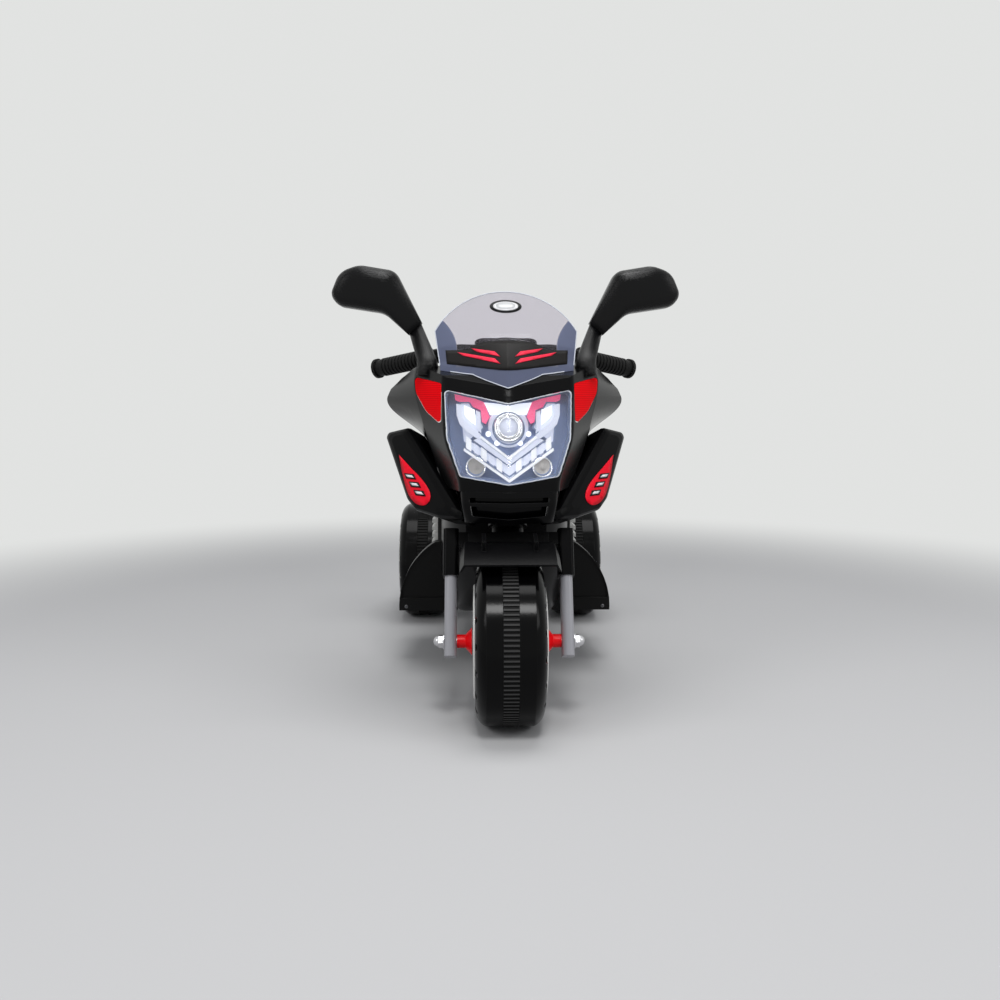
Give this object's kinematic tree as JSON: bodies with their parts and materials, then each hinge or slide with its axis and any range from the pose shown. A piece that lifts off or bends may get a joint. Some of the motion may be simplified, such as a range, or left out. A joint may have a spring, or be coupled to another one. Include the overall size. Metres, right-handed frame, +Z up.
{
  "type": "kids electric motorbike",
  "caption": "Battery ride-on motorbike for a small child, black and red plastic shells, clear windshield, wing mirrors and a foot pedal drive.",
  "frame": {"origin": "on the floor, at the middle of the bounding box", "axes": "-Y is the front of the bike, +X is the rider's left, +Z is up"},
  "size_m": [0.409, 0.8, 0.5042],
  "materials": {
    "shell_black": "gloss",
    "tyre_black": "satin",
    "band_rubber": "matte",
    "rim_silver": "gloss",
    "red_plastic": "gloss",
    "leg_grey": "satin",
    "steel": "satin",
    "bush_white": "matte",
    "clear": "gloss",
    "red_clear": "gloss",
    "reflector": "mirror",
    "lamp_white": "gloss",
    "mirror": "mirror",
    "seat_black": "matte",
    "battery_grey": "matte"
  },
  "bodies": {
    "frame": {"front_fairing": "shell_black", "nose_chin": "shell_black", "side_panel_left": "shell_black", "side_panel_right": "shell_black", "body_shell_left": "shell_black", "body_shell_right": "shell_black", "tank_cover": "shell_black", "tail_cover": "shell_black", "footboard_left": "shell_black", "footboard_right": "shell_black", "mirror_housing_left": "shell_black", "mirror_housing_right": "shell_black", "mirror_stalk_left": "shell_black", "mirror_stalk_right": "shell_black", "dash_panel": "shell_black", "pedal_switch_box": "shell_black", "engine_trim_left": "rim_silver", "engine_trim_right": "rim_silver", "rear_axle": "steel", "rear_axle_nuts": "steel", "motor": "steel", "steering_bushes": "bush_white", "battery_tray": "bush_white", "gearbox": "bush_white", "charge_socket": "bush_white", "headlight_lens": "clear", "windshield": "clear", "side_lenses": "red_clear", "tail_light": "red_clear", "headlight_reflector": "reflector", "headlight_lamps": "lamp_white", "mirror_glasses": "mirror", "seat": "seat_black", "battery": "battery_grey"},
    "steering": {"fork_leg_left": "leg_grey", "fork_leg_right": "leg_grey", "fork_crown": "shell_black", "steering_stem": "steel", "mudguard": "shell_black", "front_axle": "steel", "front_axle_nuts": "steel", "handlebar": "shell_black", "grip_left": "band_rubber", "grip_right": "band_rubber"},
    "front_wheel": {"front_tyre": "tyre_black", "front_band": "band_rubber", "front_rims": "rim_silver", "front_spacer_cones": "red_plastic"},
    "rear_wheel_left": {"rear_left_tyre": "tyre_black", "rear_left_band": "band_rubber", "rear_left_rims": "rim_silver"},
    "rear_wheel_right": {"rear_right_tyre": "tyre_black", "rear_right_band": "band_rubber", "rear_right_rims": "rim_silver"},
    "pedal": {"accelerator_pedal": "red_plastic"},
    "horn": {"horn_button": "red_plastic"},
    "music": {"music_button": "red_plastic"},
    "power": {"power_button": "red_plastic"},
    "direction": {"direction_switch": "red_plastic"}
  },
  "joints": [
    {"name": "steer", "type": "hinge", "parent": "frame", "child": "steering", "pos_m": [0, -0.29, 0.09], "axis": [0, 0.3746, 0.9272], "range_deg": [-22, 22]},
    {"name": "front_wheel_spin", "type": "hinge", "parent": "steering", "child": "front_wheel", "pos_m": [0, -0.31, 0.09], "axis": [1, 0, 0], "continuous": true},
    {"name": "rear_left_spin", "type": "hinge", "parent": "frame", "child": "rear_wheel_left", "pos_m": [0.12, 0.22, 0.09], "axis": [1, 0, 0], "continuous": true},
    {"name": "rear_right_spin", "type": "hinge", "parent": "frame", "child": "rear_wheel_right", "pos_m": [-0.12, 0.22, 0.09], "axis": [1, 0, 0], "continuous": true},
    {"name": "pedal_press", "type": "hinge", "parent": "frame", "child": "pedal", "pos_m": [-0.105, -0.021, 0.098], "axis": [1, 0, 0], "range_deg": [0, 3.5], "stiffness_Nm_per_rad": 2, "springref_deg": -2.86},
    {"name": "horn_press", "type": "slide", "parent": "steering", "child": "horn", "axis": [0, -0.3746, -0.9272], "range_m": [0, 0.0025], "stiffness_N_per_m": 300, "springref_m": -0.002},
    {"name": "music_press", "type": "slide", "parent": "steering", "child": "music", "axis": [0, -0.3746, -0.9272], "range_m": [0, 0.0025], "stiffness_N_per_m": 300, "springref_m": -0.002},
    {"name": "power_press", "type": "slide", "parent": "frame", "child": "power", "axis": [0, 0, -1], "range_m": [0, 0.0025], "stiffness_N_per_m": 300, "springref_m": -0.002},
    {"name": "direction_rock", "type": "hinge", "parent": "frame", "child": "direction", "pos_m": [0.016, -0.108, 0.366], "axis": [1, 0, 0], "range_deg": [-8, 8]}
  ]
}
